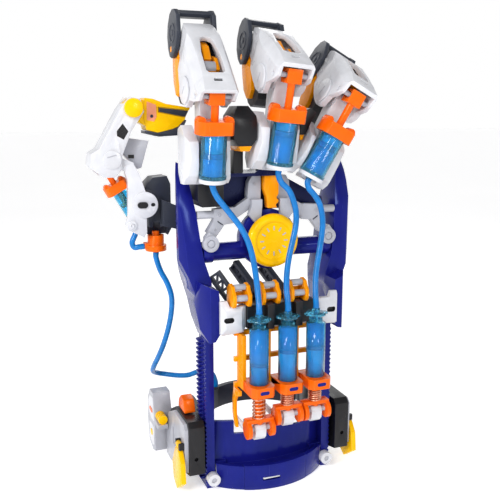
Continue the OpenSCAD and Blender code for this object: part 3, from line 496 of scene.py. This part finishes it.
def islands_painted(name, default, rules=()):
    """Gives a node its materials: rules are (material, test of a face's centre in mm)."""
    o = nodes[name]
    mesh = o.data
    wanted = [default] + [m for m, _ in rules]
    mesh.materials.clear()
    for m in wanted:
        mesh.materials.append(PAINT[m])
    for p in mesh.polygons:
        c = p.center / MM
        p.material_index = 0
        for k, (_, test) in enumerate(rules):
            if test(c):
                p.material_index = k + 1
                break


def soften(name, width, angle=28, smooth=True):
    o = nodes[name]
    mesh = o.data
    mesh.polygons.foreach_set("use_smooth", [smooth] * len(mesh.polygons))
    weld = o.modifiers.new("weld", "WELD")
    weld.merge_threshold = 0.5e-5
    flat = o.modifiers.new("flat", "DECIMATE")
    flat.decimate_type = "DISSOLVE"
    flat.angle_limit = math.radians(0.6)
    flat.delimit = {"MATERIAL"}
    if width:
        b = o.modifiers.new("bevel", "BEVEL")
        b.width, b.segments = width * MM, 2
        b.limit_method, b.angle_limit = "ANGLE", math.radians(angle)
        b.use_clamp_overlap = True
        b.harden_normals = True


def near(c, axes, r, a, b, low, high):
    """True where c is within r of a bar: axes are two across it, at a and b, and one along it."""
    return low <= c[axes[2]] <= high and math.hypot(c[axes[0]] - a, c[axes[1]] - b) <= r


def inside(x, z, outline):
    """True where the point lies inside a closed outline."""
    hit = False
    for (x0, z0), (x1, z1) in zip(outline, outline[1:] + outline[:1]):
        if (z0 > z) != (z1 > z) and x < (x1 - x0) * (z - z0) / (z1 - z0) + x0:
            hit = not hit
    return hit


CASING = [(-107, 297.6), (-88.4, 295), (-95.2, 272), (-99.2, 271), (-111.6, 285), (-113, 290)]
THUMB_CYL = Matrix.Translation(mm(-101, 57, 230.4)) @ turn(-30, "Y")


def local(matrix):
    """Takes a point in mm of the whole part to the given frame."""
    back = matrix.inverted()
    return lambda c: (back @ (Vector(c) * MM)) / MM


def linkage_rules(i):
    at = local(bone_frame(i, 1))

    def pin(c):
        return abs(at(c).x) > 12.1

    def roller(c):
        q = at(c)
        on_bar = math.hypot(q.y - ROLLER[0], q.z - ROLLER[1]) < 5.1
        in_link = abs(q.x) <= 3.05
        return on_bar and (q.y < -17 if in_link else abs(q.x) <= 4.6)

    def crank(c):
        q = at(c)
        return math.hypot(q.y - CRANK[0], q.z - CRANK[1]) < 2.1

    return [("white_shell", pin), ("grey_shell", roller), ("grey_shell", crank)]


def thumb_barrel(c):
    q = local(THUMB_CYL)(c)
    return q.z < 26.05 and math.hypot(q.x, q.y) < 6.1


def clamp(c):
    return 96.45 < c.z < 105.1 and c.y < -21.4 and \
        min(abs(c.x - x) for x in (-PITCH, 0, PITCH)) < 10.1


# Faces inside the end caps' oblong recess, which are painted black as painted shade.
def shaded_cap_recess(c):
    x = abs(c.x)
    return -23.85 < c.y < -20.4 and \
        math.hypot(x - min(max(x, 43.5), 47.5), c.z - 155.5) < 2.25


def rim_boss(r, depth):
    """Test for a round boss of the rim, of radius r, from depth behind its face."""
    return lambda c: c.z < 30 and near(c, (0, 2, 1), r, math.copysign(53.5, c.x), 10, -depth, 0)


RULES = {
    "syringe_rack": [("orange_shell", clamp)],
    # The end caps' recess faces are painted black as painted shade.
    "end_caps": [("black_shell", shaded_cap_recess), ("grey_shell", rim_boss(2.3, 7)),
                 ("white_shell", rim_boss(5.5, 8)), ("blue_shell", lambda c: c.z < 30)],
    "syringe_bar": [("dark_shell", lambda c: c.z > 166.2 or c.y > -1.9)],
    "hose_clips": [("grey_shell", lambda c: any(
        near(c, (1, 2, 0), 2.7, y, z, k * PITCH - 15.4, k * PITCH - 5.6)
        for k in (-1, 0, 1) for y, z in ((-24.5, 173), (-20, 181))))],
    "palm_block": [("black_shell", lambda c: c.x < -42 and c.z < 262.6 and c.y < 22.1
                    and (c.y < 14.4 or c.x < -42.3))],
    "knuckle_bumpers": [("amber_shell", lambda c: c.x < -15 and 287.9 < c.z < 291.85
                         or c.x < 22.5 and c.x > 18.7 and 295.9 < c.z < 299.9)],
    "thumb_housing": [("grey_shell", lambda c: near(c, (0, 2, 1), 2.6, -95.2, 242.2, 41, 49.8))],
    "thumb_cylinder": [("clear_blue", thumb_barrel)],
    "thumb_shell": [("grey_shell", lambda c: 50.1 < c.y < 63.3 and inside(c.x, c.z, CASING))],
    "thumb_input": [("yellow_shell", lambda c: near(c, (0, 2, 1), 4.4, -83.2, 46.4, 48, 60.6))],
    "slider_blocks": [("grey_shell", lambda c: abs(c.x) > 75.06 and not (
        c.y < 12.2 and 39.9 < c.z < 45.6 and abs(c.x) > 78.1))],
}


def piston_of_rod(i):
    at = local(output_frame(i))

    def test(c):
        q = at(c)
        return q.z < EYE_REACH[i] - 41.8 and math.hypot(q.x, q.y) > 3.1

    return test


def axle_of(i):
    x = (i - 1) * PITCH
    return lambda c: near(c, (1, 2, 0), 2.1, AXLE_Y, AXLE_Z[i], x - 8.4, x + 8.4)


def input_piston(i):
    return lambda c: c.z > AXLE_Z[i] + 53.38


for i, finger in enumerate(FINGERS):
    RULES[finger + "_linkage"] = linkage_rules(i)
    RULES[finger + "_rod"] = [("hose_blue", piston_of_rod(i))]
    RULES[finger + "_plunger"] = [("grey_shell", axle_of(i)), ("hose_blue", input_piston(i))]

BARE = {"finger_hoses", "thumb_hoses", "dial", "index_spring", "middle_spring", "ring_spring"}
WIDTHS = {"input_barrels": 0, "output_barrels": 0.15, "left_frame": 1.3, "right_frame": 1.3,
          "forearm_cradle": 0.4, "knuckle_bumpers": 0.8, "slider_blocks": 0.8, "end_caps": 0.6,
          "knuckle_brackets": 0.7, "thumb_shell": 0.4, "thumb_tip": 0.5, "thumb_lever": 0.6,
          "index_shell": 0.7, "middle_shell": 0.7, "ring_shell": 0.7, "syringe_bar": 0.25,
          "thumb_input": 1.0, "thumb_knob": 1.0, "palm_block": 0.8, "centre_strut": 0.5}

for spec in frame["record"]["subparts"]:
    node = spec["node"]
    if node not in BARE:
        islands_painted(node, spec["material_slot"], RULES.get(node, ()))
        soften(node, WIDTHS.get(node, 0.35))


# ---------- Water and sleeves inside the clear barrels ----------

def column(name, at, r, low, high, material):
    """A round filling between the barrel's end and the piston's rest place, baked in place."""
    o = turned(name, [(0, low), (r, low), (r, (low + high) / 2), (r, high), (0, high)],
               material, None, at, 40)
    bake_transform(o)
    return o


for i, finger in enumerate(FINGERS):
    out, eye = output_frame(i), EYE_REACH[i]
    column(finger + "_output_water", out, 7.9, 2.5, eye - 46.1, "water_blue")
    column(finger + "_output_sleeve", out, 7.2, eye - 41.9, 33.9, "sleeve_blue")
    inp = Matrix.Translation(mm((i - 1) * PITCH, INPUT_Y, 0))
    column(finger + "_input_water", inp, 6.7, AXLE_Z[i] + 56.5, 148.9, "water_blue")
    column(finger + "_input_sleeve", inp, 6.2, 105.2, AXLE_Z[i] + 53.3, "sleeve_blue")


# ---------- Springs ----------

COIL_R = 4.9
COIL_TURNS = 7.5
COIL_STEPS = 24
WIRE_R = 0.68


def add_spring(i, finger):
    """A coil between the yoke and the rack, with closed end turns."""
    low, high = AXLE_Z[i] + 8.75, 96.35
    x, path, end_gap = (i - 1) * PITCH, [], 0.7
    count = int(COIL_TURNS * COIL_STEPS)
    for k in range(count + 1):
        t = k / count
        ease = min(1.0, max(0.0, (t - 0.08) / 0.84))
        z = low + end_gap + (high - low - 2 * end_gap) * ease
        a = 2 * math.pi * COIL_TURNS * t
        path.append(mm(x + COIL_R * math.cos(a), INPUT_Y + COIL_R * math.sin(a), z))
    points, faces = tube_mesh(path, lambda _: WIRE_R * MM, 10)
    o = piece(finger + "_coil", points, faces, "copper_spring")
    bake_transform(o)
    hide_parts(finger + "_spring")


for i, finger in enumerate(FINGERS):
    add_spring(i, finger)


# ---------- Dial ----------

TICKS = 12
TICK_R = 10.6


def add_dial():
    at = Matrix.Translation(mm(0, 0, HUB_Z)) @ turn(90, "X")
    o = turned("dial_knob", [(0, -18), (6, -18), (6, -1), (6, 1.6), (20, 1.6), (20.6, 1.9),
                             (21.7, 2.3), (22.3, 3.1), (22.4, 4.4), (22.1, 5.8), (21.2, 7.1),
                             (19.9, 8.1), (18.4, 8.55), (17.0, 8.45), (16.0, 7.9), (15.4, 7.2),
                             (15.0, 6.9), (14.2, 6.8), (0, 6.8)],
               "yellow_shell", "dial", at, 96)
    turned("dial_hub", [(0, -20), (8.6, -20), (9, -19.6), (9, -17.9), (0, -17.9)],
           "yellow_shell", "dial", at, 64)
    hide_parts("dial")
    face = at @ Matrix.Translation(mm(0, 0, 6.7))

    # Plain grip marks: a ring of equal ticks
    for k in range(TICKS):
        tick = face @ turn(360 * k / TICKS, "Z") @ Matrix.Translation(mm(TICK_R, 0, 0))
        prism("dial_tick_%d" % k, [(-1.7, -0.5), (1.7, -0.5), (1.7, 0.5), (-1.7, 0.5)],
              0, 0.45, "grey_shell", "dial", tick, "z", 0.12)


add_dial()


# ---------- Small details ----------

def screw(name, where, direction, body, r=1.7, material="grey_shell"):
    """A domed screw head with a round socket, standing on a face."""
    at = Matrix.Translation(mm(*where)) @ Vector(direction).to_track_quat("Z", "Y").to_matrix() \
        .to_4x4()
    turned(name, [(0, -0.4), (r, -0.4), (r, 0.25), (r * 0.88, 0.55), (r * 0.62, 0.72),
                  (r * 0.5, 0.7), (r * 0.48, 0.1), (0, 0.1)], material, body, at, 32)


for i, finger in enumerate(FINGERS):
    x = (i - 1) * PITCH
    prism(finger + "_inlay", capsule(x, 100.8, 2.4, 1.5), -48.85, -47.9, "blue_shell", "base",
          HERE, "y", 0.3)
    bone2, bone1 = bone_frame(i, 2), bone_frame(i, 1)
    for side, tag in ((-1, "l"), (1, "r")):
        face = bone2 @ Matrix.Translation(mm(side * 16.38, -6.5, 3.5)) @ turn(90 * side, "Y")
        turned("%s_ring_%s" % (finger, tag),
               [(6.2, -0.2), (6.2, 0.35), (6.6, 0.55), (7.3, 0.55), (7.7, 0.3), (7.7, -0.2)],
               "dark_shell", finger + "_bone_2", face, 64)
        turned("%s_stud_%s" % (finger, tag),
               [(0, -0.2), (2.6, -0.2), (2.6, 0.25), (2.2, 0.5), (0, 0.55)],
               "dark_shell", finger + "_bone_2", face, 48)
        edge = bone1 @ Matrix.Translation(mm(side * 18.38, 0, 0)) @ turn(90 * side, "Y")
        prism("%s_mark_%s" % (finger, tag), [(-0.45, -4), (0.45, -4), (0.45, 4), (-0.45, 4)],
              -0.1, 0.22, "grey_shell", finger + "_bone_1", edge, "z", 0.08)

    prism(finger + "_lining", [(-9.5, -6), (9.5, -6), (9.5, 26), (8.2, 40), (-8.2, 40),
                               (-9.5, 26)], -13.4, -12.4, "black_shell", finger + "_bone_1",
          bone1, "y", 0.3)
    # A black sheet at the bottom of each first bone's slot: painted shade in the recess.
    prism(finger + "_slot_painted_shade", [(-3.35, -15.3), (3.35, -15.3), (3.35, -12.9), (-3.35, -12.9)],
          -24.9, -23.3, "black_shell", finger + "_bone_1", bone1, "y", 0.1)

for side, tag in ((-1, "l"), (1, "r")):
    screw("link_screw_%s" % tag, (side * 44, 4, 236.5), (0, -1, 0), "base")
    screw("link_screw_low_%s" % tag, (side * 47.5, 4, 224.5), (0, -1, 0), "base", 1.1)
    screw("plate_screw_%s" % tag, (side * 13.5, 3.9, 260), (0, -1, 0), "base", 1.3)
    # A thin dark strip on each wrist link standing for the inside of its slot: painted shade.
    prism("link_slot_shade_%s" % tag, [(side * 41, 227.6), (side * 45.5, 230.8), (side * 44.9, 231.6),
                                 (side * 40.4, 228.4)], 3.7, 4.05, "dark_shell", "base",
          HERE, "y", 0.08)

prism("rim_strip", [(-13.6, 9.7), (1.6, 9.7), (1.6, 10.8), (-13.6, 10.8)], -19.6, -17.2,
      "white_shell", "base", HERE, "y", 0.15)
prism("tip_plate", [(-90.6, 311.5), (-84.6, 310.2), (-82.4, 314), (-82.6, 323.6), (-90.2, 326.4)],
      47.5, 48.2, "peach_shell", "thumb_tip", HERE, "y", 0.25)
screw("tip_screw", (-86.6, 47.5, 314.6), (0, -1, 0), "thumb_tip", 1.3, "dark_shell")
screw("lever_screw", (-106.7, 41.8, 225.4), (0, -1, 0), "thumb_lever", 2.2, "white_shell")

prism("lever_oval", capsule(-97.4, 242.2, 1.8, 2.6), 40.6, 42.1, "black_shell", "thumb_lever",
      HERE, "y", 0.25)
prism("lever_dot", capsule(-88.6, 242.2, 0.3, 1.5), 41.6, 42.6, "black_shell", "thumb_lever",
      HERE, "y", 0.15)
# A black sheet over the thumb shell's window: painted shade of its inside.
prism("shell_window_shade", [(-112, 309.3), (-107.2, 302.4), (-111.4, 295.7), (-117.3, 298.8),
                       (-117.3, 303.2)], 41.2, 42.8, "black_shell", "thumb_shell",
      HERE, "y", 0.2)
# A black sheet standing for the casing's slot: painted shade of its inside.
prism("casing_slot_shade", [(-106.5, 283.4), (-101.6, 283.4), (-101.6, 280.4), (-106.5, 280.4)],
      49.95, 50.5, "black_shell", "thumb_shell", HERE, "y", 0.12)

prism("case_panel", [(63, 40), (66.5, 61), (76.5, 61), (82.5, 54), (83, 44), (74, 39)], -88.35,
      -87.7, "white_shell", "carriage", HERE, "x", 0.25)
prism("case_panel_low", [(65, 16), (64.5, 33), (72, 35), (82, 33), (80.5, 18), (71, 13.5)],
      -88.35, -87.7, "white_shell", "carriage", HERE, "x", 0.25)
prism("case_button", capsule(72.5, 48, 3.4, 2.0), -88.8, -88.2, "orange_shell", "carriage",
      HERE, "x", 0.2)
turned("case_knob", [(0, 0), (3.1, 0), (3.1, 0.5), (2.6, 0.75), (1.2, 0.8), (0, 0.8)],
       "yellow_shell", "carriage", Matrix.Translation(mm(-88.2, 72, 26)) @ turn(-90, "Y"), 40)
prism("flex_mark", [(-125.6, 281.6), (-118.2, 283.6), (-118.4, 284.4), (-125.8, 282.4)],
      38.35, 38.7, "grey_shell", "thumb_shell", HERE, "y", 0.08)


# ---------- Floor, light ----------

def add_stage():
    n = Nodes("floor_paint")
    base = n.mix(n.ramp(n.noise(3, 4), 0.3, 0.7), (0.86, 0.86, 0.87), (0.9, 0.9, 0.91))
    n.put(base=base, rough=n.ramp(n.noise(12, 3), 0.3, 0.7, 0.5, 0.6),
          normal=n.bump(n.noise(900, 2), 0.03, 0.0002), spec=0.2)
    n.shader.inputs["Emission Color"].default_value = (1, 1, 1, 1)
    n.shader.inputs["Emission Strength"].default_value = 0.5
    mesh = bpy.data.meshes.new("floor")
    far = 12.0
    corners = [(-far, -far, 0), (far, -far, 0), (far, far, 0), (-far, far, 0)]
    mesh.from_pydata(corners, [], [(0, 1, 2, 3)])
    mesh.materials.append(n.material)
    o = bpy.data.objects.new("floor", mesh)
    o.location.z = -0.0003
    scene.collection.objects.link(o)
    world = bpy.data.worlds.new("studio")
    world.use_nodes = True
    tree, sky = world.node_tree, world.node_tree.nodes["Background"]
    sky.inputs["Color"].default_value = (1, 1, 1, 1)
    direction = tree.nodes.new("ShaderNodeTexCoord")
    split = tree.nodes.new("ShaderNodeSeparateXYZ")
    fade = tree.nodes.new("ShaderNodeMapRange")
    tree.links.new(direction.outputs["Generated"], split.inputs[0])
    tree.links.new(split.outputs["Z"], fade.inputs["Value"])
    for socket, v in (("From Min", 0.2), ("From Max", 0.7), ("To Min", 1.0), ("To Max", 0.42)):
        fade.inputs[socket].default_value = v
    side = tree.nodes.new("ShaderNodeMapRange")
    tree.links.new(split.outputs["Y"], side.inputs["Value"])
    for socket, v in (("From Min", -0.8), ("From Max", 0.2), ("To Min", 0.68), ("To Max", 1.0)):
        side.inputs[socket].default_value = v
    both = tree.nodes.new("ShaderNodeMath")
    both.operation = "MULTIPLY"
    tree.links.new(fade.outputs["Result"], both.inputs[0])
    tree.links.new(side.outputs["Result"], both.inputs[1])
    tree.links.new(both.outputs[0], sky.inputs["Strength"])
    scene.world = world
    for name, where, size, power, colour in [
            ("key", (-0.75, -0.85, 1.05), 0.34, 7.5, (1, 0.985, 0.96)),
            ("fill", (0.95, -0.75, 0.55), 0.8, 0.5, (0.95, 0.97, 1)),
            ("rim", (0.35, 0.95, 0.85), 0.5, 2.0, (1, 1, 1)),
            ("strip", (-0.62, -0.38, 0.42), 0.14, 1.8, (1, 1, 1)),
            ("front", (0.12, -0.9, 0.5), 0.16, 1.2, (1, 1, 1))]:
        data = bpy.data.lights.new(name, "AREA")
        data.energy, data.size, data.color = power, size, colour
        light = bpy.data.objects.new(name, data)
        light.location = where
        aim = Vector((-0.01, 0.0, 0.2)) - Vector(where)
        light.rotation_euler = aim.to_track_quat("-Z", "Y").to_euler()
        scene.collection.objects.link(light)


add_stage()
scene.view_settings.view_transform = "Standard"
